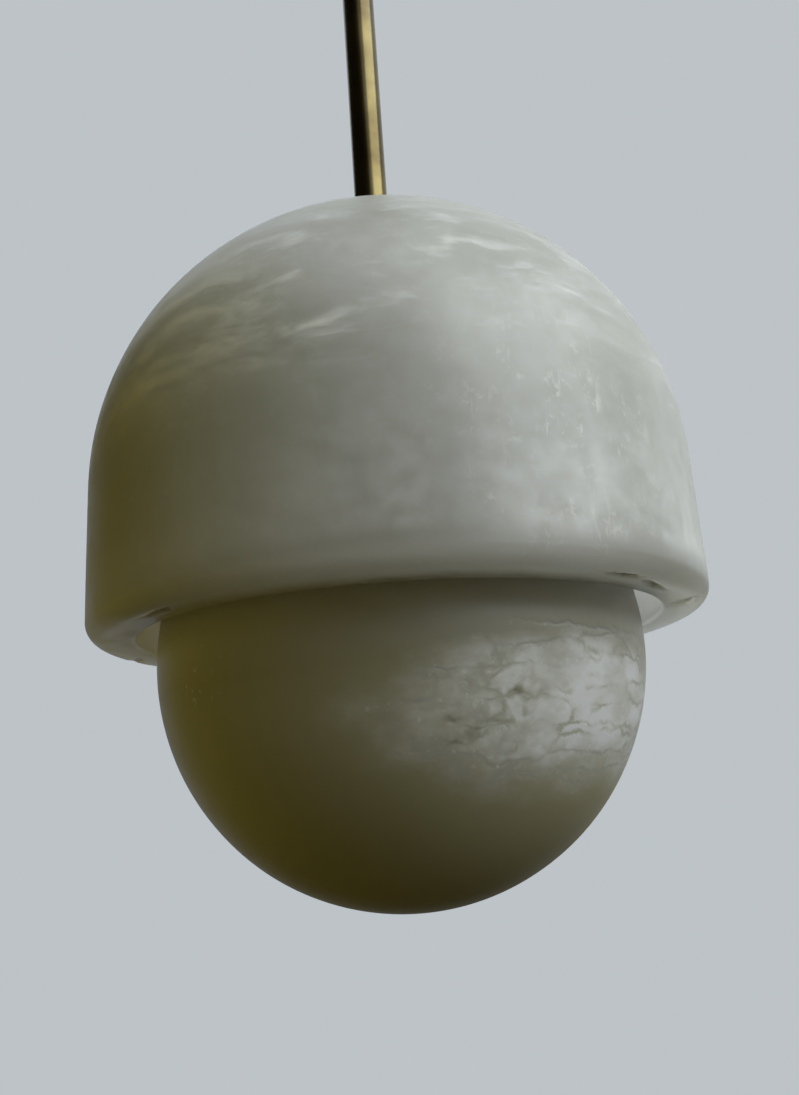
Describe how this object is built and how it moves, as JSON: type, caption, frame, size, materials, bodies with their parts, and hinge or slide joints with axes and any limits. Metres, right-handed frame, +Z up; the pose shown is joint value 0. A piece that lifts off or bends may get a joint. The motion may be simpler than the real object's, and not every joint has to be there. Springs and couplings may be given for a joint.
{
  "type": "pendant light",
  "caption": "Pendant light: turned alabaster dome shade over an alabaster globe on a slim brass rod, hung from a ball swivel in a round ceiling canopy.",
  "frame": {"origin": "middle of the bracket's ceiling face, between the two ceiling screw slots", "axes": "+Z up into the ceiling along the rod, +X along the ceiling screw slots, the lamp hangs along -Z"},
  "size_m": [0.16, 0.16, 0.525],
  "materials": {
    "alabaster": "satin, translucent",
    "satin_brass": "satin",
    "zinc_steel": "zinc plated",
    "silicone": "matte",
    "steatite": "matte",
    "bulb_base_plastic": "matte",
    "bulb_clear_glass": "clear",
    "bulb_phosphor": "matte",
    "block_plastic": "matte",
    "lead_insulation": "matte"
  },
  "bodies": {
    "ceiling_mount": {"ceiling_bracket": "zinc_steel", "canopy": "satin_brass", "canopy_screws": "satin_brass", "ball_seat": "satin_brass", "terminal_block": "block_plastic", "terminal_screws": "zinc_steel", "block_bolt": "zinc_steel", "canopy_leads": "lead_insulation"},
    "swivel_key": {"key_pins": "zinc_steel"},
    "stem": {"swivel_ball": "satin_brass", "rod": "satin_brass", "rod_nuts": "zinc_steel", "spring_washers": "zinc_steel", "rod_leads": "lead_insulation", "shade": "alabaster", "shade_gasket": "silicone", "support_plate": "zinc_steel", "gallery": "zinc_steel", "ring_seal": "silicone", "holder_bracket": "zinc_steel", "lampholder": "steatite", "holder_screws": "zinc_steel", "earth_screw": "zinc_steel", "earth_nut": "zinc_steel"},
    "globe": {"globe": "alabaster", "bayonet_ring": "satin_brass", "bayonet_lugs": "satin_brass"},
    "bulb": {"bulb_base": "bulb_base_plastic", "bulb_pins": "zinc_steel", "bulb_glass": "bulb_clear_glass", "bulb_burner": "bulb_phosphor"}
  },
  "joints": [
    {"name": "swing_y", "type": "hinge", "parent": "ceiling_mount", "child": "swivel_key", "pos_m": [0, 0, -0.02765], "axis": [0, 1, 0], "range_deg": [-15, 15], "deforming": ["canopy_leads"]},
    {"name": "swing_x", "type": "hinge", "parent": "swivel_key", "child": "stem", "pos_m": [0, 0, -0.02765], "axis": [1, 0, 0], "range_deg": [-15, 15], "deforming": ["canopy_leads"]},
    {"name": "globe_twist", "type": "hinge", "parent": "stem", "child": "globe", "pos_m": [0, 0, -0.462], "axis": [0, 0, 1], "range_deg": [-25, 0]},
    {"name": "bulb_pull", "type": "slide", "parent": "stem", "child": "bulb", "axis": [0, 0, -1], "range_m": [0, 0.01]}
  ]
}
